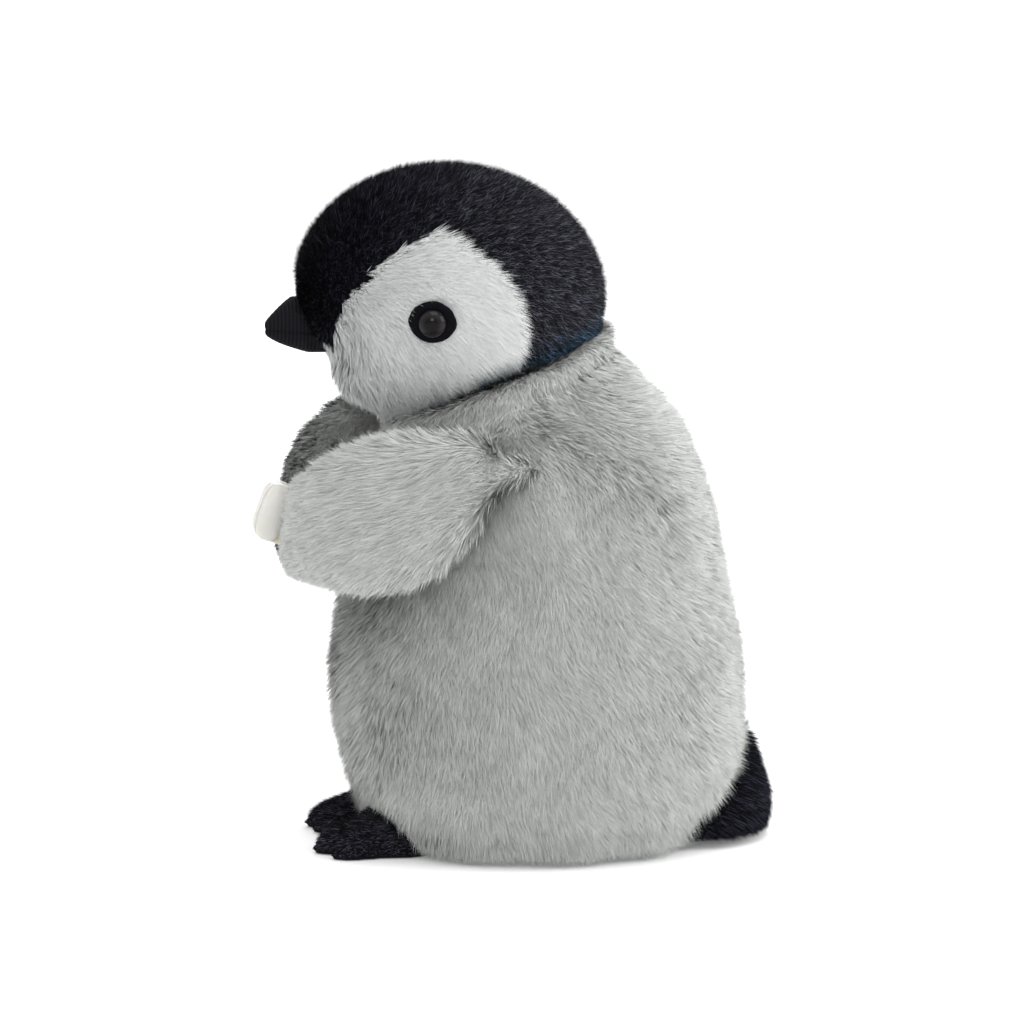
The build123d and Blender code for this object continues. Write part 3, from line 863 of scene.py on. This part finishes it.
def make_body_skin():
    """The stuffed body under the pile, level with the frame's own faces at the neck and the base."""
    skin = hull_of("body_skin", ["body_cover", "base_panel"])
    remesh(skin, 2.2 * MM)
    normals = normals_of(skin.data)
    face_up = np.maximum(normals @ np.array(NECK_AXIS), -normals[:, 2])
    behind = smoothstep(-15 * MM, 8 * MM, points_of(skin.data)[:, 1])
    shoulder = smoothstep(-26 * MM, -4 * MM, above_neck(points_of(skin.data))) * behind
    move_out(skin, (-2.6 - 1.6 * shoulder) * MM * (1 - smoothstep(0.6, 0.95, face_up)))
    points = points_of(skin.data)
    shoulder_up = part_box("flipper_cover_left")[1].z - SHOULDER_DROP
    from_shoulder = np.hypot(points[:, 2] - shoulder_up, points[:, 1] - (PIN.y - SHOULDER_AHEAD))
    bulge = smoothstep(17 * MM, 4 * MM, from_shoulder) * smoothstep(18 * MM, 30 * MM, np.abs(points[:, 0]))
    bulge *= smoothstep(-4 * MM, -14 * MM, above_neck(points))
    points[:, 0] += np.sign(points[:, 0]) * bulge * SHOULDER_SWELL
    set_points(skin.data, points)
    points = points_of(skin.data)
    side = np.abs(points[:, 1] - PIN.y)
    pinned = np.maximum.reduce([
        1 - smoothstep(1.5 * MM, 4 * MM, points[:, 2]),
        smoothstep(-6 * MM, -2.5 * MM, above_neck(points)),
        (1 - smoothstep(1 * MM, 3 * MM, side)) * 0.8,
    ])
    stuff(skin, 1.2 * MM, pinned)
    points = points_of(skin.data)
    points[:, 2] = np.maximum(points[:, 2], 0.4 * MM)
    set_points(skin.data, points)
    finer = skin.modifiers.new("finer", "SUBSURF")
    finer.levels = finer.render_levels = 1
    settle(skin)
    smooth_shaded(skin)
    skin.data.materials.append(grey_skin_cloth)
    return skin


body_skin = make_body_skin()


def room_under_head(points):
    """How far above each point of the body the head's own skin is, up to 9 mm."""
    made = bmesh.new()
    made.from_mesh(head_skin.data)
    cloth = BVHTree.FromBMesh(made)
    made.free()
    found = np.full(len(points), 9 * MM)
    for index, p in enumerate(points):
        hit = cloth.ray_cast(Vector(p) - NECK_AXIS * 2 * MM, NECK_AXIS, 11 * MM)
        if hit[0] is not None:
            found[index] = hit[3] - 2 * MM
    return found


def comb_body(skin):
    """Brushed down, swirling behind the flippers, and standing up and out round the neck."""
    points = points_of(skin.data)
    move_out(skin, lumps(points, 16 * MM, 3) * 0.4 * MM)
    down = np.tile((0.0, 0.0, -1.0), (len(points), 1))
    sway = np.stack([lumps(points, 30 * MM, 5), lumps(points, 30 * MM, 6), np.zeros(len(points))], 1)
    around = np.stack([-(points[:, 1] - PIN.y), points[:, 0], np.zeros(len(points))], 1)
    back_way = unit(around) * np.sign(points[:, :1]) * 0.35
    neck = above_neck(points)
    collar = smoothstep(-9 * MM, -2 * MM, neck)
    outward = points - np.array(NECK)
    outward -= neck[:, None] * np.array(NECK_AXIS)
    cut = 1 - 0.4 * collar
    near = neck > -8 * MM
    cut[near] *= np.clip(room_under_head(points[near]) / (4 * MM) - 0.1, 0, 1)
    cut *= 0.3 + 0.7 * smoothstep(1.0 * MM, 7 * MM, points[:, 2])
    cut *= np.where(points[:, 2] < 0.8 * MM, 0, 1)
    flow = down + sway * 0.45 + back_way
    flow += (unit(outward) + down * 0.8 - flow) * collar[:, None]
    comb(skin, flow, cut, 0.6)


comb_body(body_skin)

# %% Body pile
PANELS = {"front": -0.25, "left": 0.25, "back": 0.75, "right": 1.25}


def grow_body(skin):
    """Four panels of pile, each a quarter of the way round."""
    for seed, (name, start) in enumerate(PANELS.items()):
        middle = (start + 0.25) * math.pi - math.pi / 2
        way = Vector((math.cos(middle), math.sin(middle)))
        panel = part_of(
            f"panel_{name}",
            skin,
            lambda p, way=way: (Vector((p.x, p.y - PIN.y)).normalized() @ way) > math.cos(math.pi / 4),
        )
        grow(
            f"body_pile_{name}", panel, grey_pile, 29, BODY_PILE, 0.25 * MM, 0.38,
            3.2 * MM, 1.1, 11 + seed, "torso",
        )
        forget(panel)


grow_body(body_skin)
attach(body_skin, "torso")
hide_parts("body_cover", "body_stuffing", "base_panel", "pellet_bag")

# %% [markdown]
# ## Flippers
# Each flipper is a padded sleeve over an arm of the clip. Its skin is a tube of rings measured
# from the frame's own flipper cover, one ring every few degrees round the clip's pin, closed
# with a rounded tip. The pile is brushed along the arm towards the tip.

# %% Flipper skin
RING_POINTS = 24
RING_COUNT = 15
ROOT_ANGLE = math.radians(12)
TIP_ANGLE = math.radians(85.5)
PILE_ROOM = 1.5 * MM


def flipper_ring(tree, angle):
    """The cover's middle radius, half thickness, middle height and half height at one angle round the pin."""
    way = Vector((math.cos(angle), -math.sin(angle), 0))
    axis = Vector((PIN.x, PIN.y, 0))
    up = Vector((0, 0, 1))
    column = axis + way * 47.5 * MM
    low = tree.ray_cast(column, up)[0].z
    high = tree.ray_cast(column + up * 0.2, -up)[0].z
    middle = up * (low + high) / 2
    outer = (tree.ray_cast(axis + middle + way * 0.09, -way)[0] - axis - middle).length
    inner = (tree.ray_cast(axis + middle + way * 0.03, way)[0] - axis - middle).length
    return (inner + outer) / 2, (outer - inner) / 2 - PILE_ROOM, middle.z, (high - low) / 2 - PILE_ROOM


def make_flipper_skin(side, sign):
    """The stuffed sleeve of one flipper, its root sunk into the side of the body."""
    tree = tree_of("flipper_cover_left")
    angles = [ROOT_ANGLE + (TIP_ANGLE - ROOT_ANGLE) * step / (RING_COUNT - 1) for step in range(RING_COUNT)]
    rings = [(angle, *flipper_ring(tree, angle)) for angle in angles]
    angle, radius, thick, middle, half = rings[0]
    root = [
        (angle - 0.20, radius - 15 * MM, thick * 0.8, middle, half * 0.7),
        (angle - 0.13, radius - 8.5 * MM, thick, middle, half * 0.95),
        (angle - 0.05, radius - 3 * MM, thick, middle, half * 1.05),
    ]
    angle, radius, thick, middle, half = rings[-1]
    tip = [
        (angle + 0.03, radius, thick * 0.75, middle, half * 0.8),
        (angle + 0.045, radius, thick * 0.35, middle, half * 0.42),
    ]
    made = bmesh.new()
    loops = []
    for angle, radius, thick, middle, half in root + rings + tip:
        loop = []
        for k in range(RING_POINTS):
            turn = 2 * math.pi * k / RING_POINTS
            across, up = (math.copysign(abs(c) ** 0.65, c) for c in (math.cos(turn), math.sin(turn)))
            reach = radius + thick * across - 1.2 * MM * up
            x = sign * reach * math.cos(angle)
            y = PIN.y - reach * math.sin(angle)
            loop.append(made.verts.new((x, y, middle + half * up)))
        loops.append(loop)
    for one, two in zip(loops, loops[1:]):
        for k in range(RING_POINTS):
            j = (k + 1) % RING_POINTS
            made.faces.new((one[k], one[j], two[j], two[k]))
    made.faces.new(loops[0])
    made.faces.new(loops[-1])
    bmesh.ops.recalc_face_normals(made, faces=made.faces)
    skin = object_of(f"flipper_skin_{side}", made)
    remesh(skin, 1.2 * MM, smooths=10)
    stuff(skin, 0.8 * MM)
    points = points_of(skin.data)
    move_out(skin, lumps(points, 13 * MM, 8) * 0.3 * MM)
    smooth_shaded(skin)
    skin.data.materials.append(grey_skin_cloth)
    return skin


def comb_flipper(skin, sign):
    """Brushed along the arm to the tip, drooping a little at the lower edge."""
    points = points_of(skin.data)
    ahead = np.stack([(points[:, 1] - PIN.y) * sign, -np.abs(points[:, 0]), np.zeros(len(points))], 1)
    down = np.tile((0.0, 0.0, -1.0), (len(points), 1))
    sway = np.stack([np.zeros(len(points)), np.zeros(len(points)), lumps(points, 22 * MM, 9)], 1)
    tip = np.maximum(0, -(points[:, 1]) - 44 * MM) / (10 * MM)
    cut = np.ones(len(points)) * (1 - 0.45 * np.clip(tip, 0, 1))
    cut *= np.where(np.abs(points[:, 0]) < 1.6 * MM, 0, 1)
    outward = np.stack([np.full(len(points), sign), down[:, 0], down[:, 0]], 1)
    root = smoothstep(-19 * MM, -9 * MM, points[:, 1])[:, None]
    comb(skin, unit(ahead) + down * 0.45 + outward * root * 0.6 + sway * 0.35, cut, 0.25)


for side, sign in (("left", 1), ("right", -1)):
    flipper_skin = make_flipper_skin(side, sign)
    comb_flipper(flipper_skin, sign)
    grow(
        f"flipper_pile_{side}", flipper_skin, grey_pile, 31, 5.4 * MM, 0.24 * MM, 0.36,
        3.2 * MM, 1.0, 51, f"flipper_{side}",
    )
    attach(flipper_skin, f"flipper_{side}")
    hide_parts(f"flipper_cover_{side}", f"flipper_stuffing_{side}")

# %% [markdown]
# ## Tail and feet
# The tail is a plump wedge of black pile, brushed down and back. A foot is a flat pad with three
# toes, its pile short enough for the toes to show.

# %% Tail
def make_tail():
    """The stuffed wedge and its pile."""
    skin = hull_of("tail_skin", ["tail_cover"])
    remesh(skin, 1.2 * MM, smooths=5)
    move_out(skin, -1.4 * MM)
    stuff(skin, 0.6 * MM)
    points = points_of(skin.data)
    points[:, 2] = np.maximum(points[:, 2], 0.4 * MM)
    set_points(skin.data, points)
    smooth_shaded(skin)
    skin.data.materials.append(black_skin_cloth)
    flow = np.tile((0.0, 0.75, -0.65), (len(points), 1))
    cut = 0.35 + 0.65 * smoothstep(1 * MM, 5 * MM, points[:, 2])
    cut *= np.where(points[:, 2] < 0.8 * MM, 0, 1)
    comb(skin, flow, cut)
    grow(
        "tail_pile", skin, black_pile, 28, 4.2 * MM, 0.22 * MM, 0.3,
        3.5 * MM, 0.8, 61, "torso",
    )
    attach(skin, "torso")
    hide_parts("tail_cover", "tail_stuffing")


make_tail()


# %% Feet
def make_foot(side):
    """One padded foot with its pile and its sole."""
    skin = joined(f"foot_skin_{side}", [f"foot_upper_{side}", f"foot_sole_{side}"])
    remesh(skin, 0.8 * MM, smooths=6)
    points = points_of(skin.data)
    inset = np.where(points[:, 2] < 1.5 * MM, 0.1, 0.9) * MM
    move_out(skin, -inset)
    points = points_of(skin.data)
    points[:, 2] = np.maximum(points[:, 2], 0.0)
    set_points(skin.data, points)
    smooth_shaded(skin)
    skin.data.materials.append(black_skin_cloth)
    flow = np.tile((0.0, -1.0, -0.3), (len(points), 1))
    cut = 0.35 + 0.65 * smoothstep(1 * MM, 4 * MM, points[:, 2])
    cut *= np.where(points[:, 2] < 0.8 * MM, 0, 1)
    comb(skin, flow, cut)
    store(skin, "light", np.full(len(points), 0.4))
    grow(
        f"foot_pile_{side}", skin, black_pile, 40, 2.0 * MM, 0.2 * MM, 0.35,
        2.5 * MM, 0.6, 71, "torso",
    )
    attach(skin, "torso")
    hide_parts(f"foot_upper_{side}", f"foot_sole_{side}")


for side in ("left", "right"):
    make_foot(side)

# %% [markdown]
# ## Beak
# The beak is two pieces of fine black knit sewn together along the mouth. Knit is ridges of
# loops, so the ridges are real, small waves in the mesh, and the loops are bump.

# %% Knit finish
def make_knit():
    """Black knit with rows of small loops."""
    made, tree, shader = principled("beak_knit")
    place = node(tree, "ShaderNodeTexCoord").outputs["Object"]
    split = node(tree, "ShaderNodeSeparateXYZ", {0: place})
    row = maths(tree, "SINE", maths(tree, "MULTIPLY", split.outputs[1], 2 * math.pi / (0.78 * MM)))
    side = maths(tree, "ADD", split.outputs[0], split.outputs[2])
    loop = maths(tree, "SINE", maths(tree, "MULTIPLY", side, 2 * math.pi / (0.55 * MM)))
    height = maths(tree, "ADD", row, maths(tree, "MULTIPLY", loop, 0.6))
    fuzz = noise(tree, place, 1 / (0.3 * MM), 3.0)
    full = maths(tree, "ADD", height, fuzz)
    bump = node(tree, "ShaderNodeBump", {"Height": full, "Distance": 0.06 * MM, "Strength": 0.8})
    tree.links.new(bump.outputs["Normal"], shader.inputs["Normal"])
    # Painted shade: the knit's colour follows the height of its rows and loops, darker down in the grooves
    # and lighter on the tops
    raised = maths(tree, "MULTIPLY_ADD", height, 0.3, clamp=True)
    shade = mix_colour(tree, raised, (0.003, 0.003, 0.004, 1), (0.011, 0.011, 0.014, 1))
    tree.links.new(shade, shader.inputs["Base Color"])
    set_values(shader, Roughness=0.8, Specular_IOR_Level=0.04)
    return made


knit = make_knit()
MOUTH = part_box("beak_lower")[1].z


def make_mandible(name):
    """One half of the beak, its edge rolled in to the mouth seam."""
    piece = hull_of(name + "_knit", [name], sink=7 * MM)
    remesh(piece, 0.35 * MM, smooths=4)
    move_out(piece, 0.2 * MM)
    points = points_of(piece.data)
    middle = (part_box("beak_upper")[0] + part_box("beak_upper")[1]) / 2
    seam = np.exp(-((points[:, 2] - MOUTH) / (0.6 * MM)) ** 2)
    inward = unit(np.stack([points[:, 0] - middle.x, np.zeros(len(points)), np.zeros(len(points))], 1))
    ridge = np.sin(points[:, 1] * 2 * math.pi / (0.78 * MM)) * 0.03 * MM
    normals = normals_of(piece.data)
    set_points(piece.data, points - inward * seam[:, None] * 0.35 * MM + normals * ridge[:, None])
    smooth_shaded(piece)
    piece.data.materials.append(knit)
    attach(piece, "head")
    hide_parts(name)
    return piece


for name in ("beak_upper", "beak_lower"):
    make_mandible(name)

# %% [markdown]
# ## Eyes
# A safety eye is a domed plastic lens on a post, with the colour under the dome. It sits on a
# felt patch, and a washer locks it inside the head.

# %% Eye lens
def eye_axis(side):
    """The point under the lens on the skin and the way the eye looks."""
    low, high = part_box(f"eye_washer_{side}")
    washer = (low + high) / 2
    points = points_of(frame["nodes"][f"eye_{side}"].data)
    far = np.linalg.norm(points - np.array(washer), axis=1).argmax()
    return Vector(points[far]), (Vector(points[far]) - washer).normalized()


def make_lens_finish():
    """Dark brown iris round a black pupil under clear gloss."""
    made, tree, shader = principled("eye_lens")
    out = painted(tree, "out")
    ramp = node(tree, "ShaderNodeValToRGB", {"Fac": out})
    stops = ramp.color_ramp.elements
    stops[0].position, stops[0].color = 0.0, (0.0012, 0.0012, 0.0014, 1)
    stops[1].position, stops[1].color = 1.0, (0.001, 0.001, 0.001, 1)
    for place, colour in (
        (0.42, (0.0015, 0.0014, 0.0014, 1)),
        (0.55, (0.007, 0.006, 0.007, 1)),
        (0.80, (0.016, 0.013, 0.014, 1)),
        (0.90, (0.003, 0.003, 0.003, 1)),
    ):
        stops.new(place).color = colour
    tree.links.new(ramp.outputs["Color"], shader.inputs["Base Color"])
    set_values(shader, Roughness=0.4, Specular_IOR_Level=0.02)
    set_values(shader, Coat_Weight=1.0, Coat_IOR=1.2, Coat_Roughness=0.03)
    return made


lens_finish = make_lens_finish()
LENS_RADIUS = 3.0 * MM
LENS_RISE = 2.5 * MM


def make_eye(side):
    """The lens and post, turned on the eye's axis."""
    apex, look = eye_axis(side)
    turn = look.to_track_quat("Z", "Y").to_matrix().to_4x4()
    steps = 40
    profile = [(0.0, 0.0)]
    for k in range(1, 15):
        angle = math.radians(90 * k / 14)
        profile.append((LENS_RADIUS * math.sin(angle), -(1 - math.cos(angle)) * (LENS_RISE - 0.5 * MM)))
    profile += [
        (LENS_RADIUS, -LENS_RISE + 0.1 * MM),
        (LENS_RADIUS - 0.12 * MM, -LENS_RISE),
        (1.2 * MM, -LENS_RISE),
        (1.2 * MM, -LENS_RISE - 8 * MM),
    ]
    made = bmesh.new()
    top = made.verts.new((0, 0, 0))
    loops = []
    for radius, z in profile[1:]:
        turns = [2 * math.pi * k / steps for k in range(steps)]
        loops.append([made.verts.new((radius * math.cos(t), radius * math.sin(t), z)) for t in turns])
    for k in range(steps):
        made.faces.new((top, loops[0][k], loops[0][(k + 1) % steps]))
    for one, two in zip(loops, loops[1:]):
        for k in range(steps):
            j = (k + 1) % steps
            made.faces.new((one[k], two[k], two[j], one[j]))
    made.faces.new(list(reversed(loops[-1])))
    bmesh.ops.recalc_face_normals(made, faces=made.faces)
    piece = object_of(f"eye_lens_{side}", made)
    points = points_of(piece.data)
    out = np.linalg.norm(points[:, :2], axis=1) / LENS_RADIUS
    store(piece, "out", np.where(points[:, 2] < -LENS_RISE + 0.05 * MM, 1.0, out))
    piece.data.transform(Matrix.Translation(apex) @ turn)
    smooth_shaded(piece)
    piece.data.materials.append(lens_finish)
    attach(piece, "head")
    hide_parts(f"eye_{side}")


def make_felt(side):
    """The felt patch, drawn in a little, with its rim rounded and its face uneven."""
    piece = joined(f"eye_patch_{side}", [f"eye_felt_{side}"])
    remesh(piece, 0.25 * MM, smooths=2)
    apex, look = eye_axis(side)
    points = points_of(piece.data)
    axis = np.array(look)
    offset = points - np.array(apex)
    depth = (offset @ axis)[:, None]
    set_points(piece.data, np.array(apex) + depth * axis + (offset - depth * axis) * 0.96)
    move_out(piece, lumps(points, 1.8 * MM, 12) * 0.05 * MM)
    smooth_shaded(piece)
    piece.data.materials.append(felt_cloth)
    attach(piece, "head")
    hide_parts(f"eye_felt_{side}")


for side in ("left", "right"):
    make_eye(side)
    make_felt(side)


# %% Lights in the eye
def add_eye_light(name, aside):
    """A small lamp that shows in the dome of the left eye, this far aside of its middle."""
    apex, look = eye_axis("left")
    to_camera = (scene.camera.location - apex).normalized()
    across = Vector((0, 0, 1)).cross(to_camera).normalized()
    dome = LENS_RADIUS ** 2 / (LENS_RISE - 0.5 * MM)
    facing = (look + across * aside / dome).normalized()
    way = facing * 2 * facing.dot(to_camera) - to_camera
    add_light(name, apex + way * 1.2, apex, 0.04, 1.6)


add_eye_light("eye_light_one", -0.4 * MM)
add_eye_light("eye_light_two", 1.0 * MM)

# %% [markdown]
# ## Clip
# The clip is milky moulded plastic. Light goes a little way in, so its edges look warm and
# greenish yellow and its faces nearly white. The levers keep the frame's shape with their edges
# softened, because a mould never leaves them sharp.

# %% Plastic and steel
def make_milky():
    """Milky, slightly see-through plastic with faint flow marks."""
    made, tree, shader = principled("milky_plastic")
    place = node(tree, "ShaderNodeTexCoord").outputs["Object"]
    flow = noise(tree, place, 1 / (4 * MM))
    shade = mix_colour(tree, flow, (0.52, 0.51, 0.47, 1), (0.60, 0.59, 0.57, 1))
    rim = painted(tree, "rim")
    shade = mix_colour(tree, rim, shade, (0.58, 0.52, 0.24, 1))
    tree.links.new(shade, shader.inputs["Base Color"])
    rough = maths(tree, "MULTIPLY_ADD", flow, 0.15)
    rough.node.inputs[2].default_value = 0.25
    tree.links.new(rough, shader.inputs["Roughness"])
    set_values(shader, Subsurface_Weight=0.5, Subsurface_Radius=(1.2, 1.0, 0.5))
    set_values(shader, Subsurface_Scale=1.5 * MM)
    return made


milky = make_milky()


def make_steel():
    """Bright drawn wire."""
    made, tree, shader = principled("drawn_steel")
    place = node(tree, "ShaderNodeTexCoord").outputs["Object"]
    line = noise(tree, place, 1 / (0.4 * MM), 4.0)
    shade = mix_colour(tree, line, (0.42, 0.42, 0.43, 1), (0.6, 0.6, 0.61, 1))
    tree.links.new(shade, shader.inputs["Base Color"])
    set_values(shader, Metallic=1.0, Roughness=0.32)
    return made


steel = make_steel()


# The gripping pad leans back by 20 degrees, and its middle is this far behind the lever's front
PAD_LEAN = math.radians(20)
PAD_UP = Vector((0, math.sin(PAD_LEAN), math.cos(PAD_LEAN)))
PAD_BACK = Vector((0, math.cos(PAD_LEAN), -math.sin(PAD_LEAN)))
lever_low, lever_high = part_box("clip_lever_left")
PAD_MIDDLE = Vector((0, lever_low.y + 6.4 * MM, (lever_low.z + lever_high.z) / 2))


def add_pebble(made, back, half_back, half_up, x_low, x_high, sign):
    """Adds a rounded oblong to a pad, lying along its lean."""
    for v in bmesh.ops.create_uvsphere(made, u_segments=32, v_segments=20, radius=1.0)["verts"]:
        out, across, up = (math.copysign(abs(c) ** 0.7, c) for c in v.co)
        at = PAD_MIDDLE + PAD_BACK * (back + across * half_back) + PAD_UP * up * half_up
        at.x = sign * ((x_low + x_high) / 2 + out * (x_high - x_low) / 2)
        v.co = at


def make_lever(side, sign):
    """A lever with softened edges, and a moulded bar and a thin flange on its pad."""
    piece = joined(f"clip_{side}", [f"clip_lever_{side}"])
    flat = bmesh.new()
    flat.from_mesh(piece.data)
    bmesh.ops.dissolve_limit(flat, angle_limit=math.radians(1), verts=flat.verts, edges=flat.edges)
    flat.to_mesh(piece.data)
    flat.free()
    soft = piece.modifiers.new("soft_edges", "BEVEL")
    soft.width = 0.5 * MM
    soft.segments = 3
    soft.limit_method = "ANGLE"
    soft.angle_limit = math.radians(40)
    settle(piece)
    whole = bmesh.new()
    whole.from_mesh(piece.data)
    add_pebble(whole, -2.1 * MM, 3.1 * MM, 6.3 * MM, 0.4 * MM, 4.6 * MM, sign)
    add_pebble(whole, 1.9 * MM, 0.6 * MM, 5.6 * MM, 0.4 * MM, 5.2 * MM, sign)
    bmesh.ops.recalc_face_normals(whole, faces=whole.faces)
    whole.to_mesh(piece.data)
    whole.free()
    offset = points_of(piece.data) - np.array(PAD_MIDDLE)
    behind = offset @ np.array(PAD_BACK)
    store(piece, "rim", smoothstep(0.6 * MM, 1.6 * MM, behind) * smoothstep(4 * MM, 2.6 * MM, behind))
    smooth_shaded(piece)
    piece.data.materials.append(milky)
    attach(piece, f"flipper_{side}")
    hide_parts(f"clip_lever_{side}")


for side, sign in (("left", 1), ("right", -1)):
    make_lever(side, sign)


def finish_cad(name, finish):
    """Gives a CAD node that stays its finish."""
    data = frame["nodes"][name].data
    data.materials.clear()
    data.materials.append(finish)


def make_washer_plastic():
    """Natural moulded plastic, slightly mottled."""
    made, tree, shader = principled("washer_plastic")
    place = node(tree, "ShaderNodeTexCoord").outputs["Object"]
    spots = noise(tree, place, 1 / (1 * MM))
    shade = mix_colour(tree, spots, (0.6, 0.6, 0.57, 1), (0.75, 0.75, 0.73, 1))
    tree.links.new(shade, shader.inputs["Base Color"])
    shader.inputs["Roughness"].default_value = 0.5
    return made


stuffing_fibre = cloth_material("stuffing_fibre", (0.8, 0.8, 0.79), 0.8 * MM, 0.3 * MM)
finish_cad("clip_pin", steel)
finish_cad("clip_spring", steel)
finish_cad("beak_stuffing", stuffing_fibre)
washer_plastic = make_washer_plastic()
for side in ("left", "right"):
    finish_cad(f"eye_washer_{side}", washer_plastic)
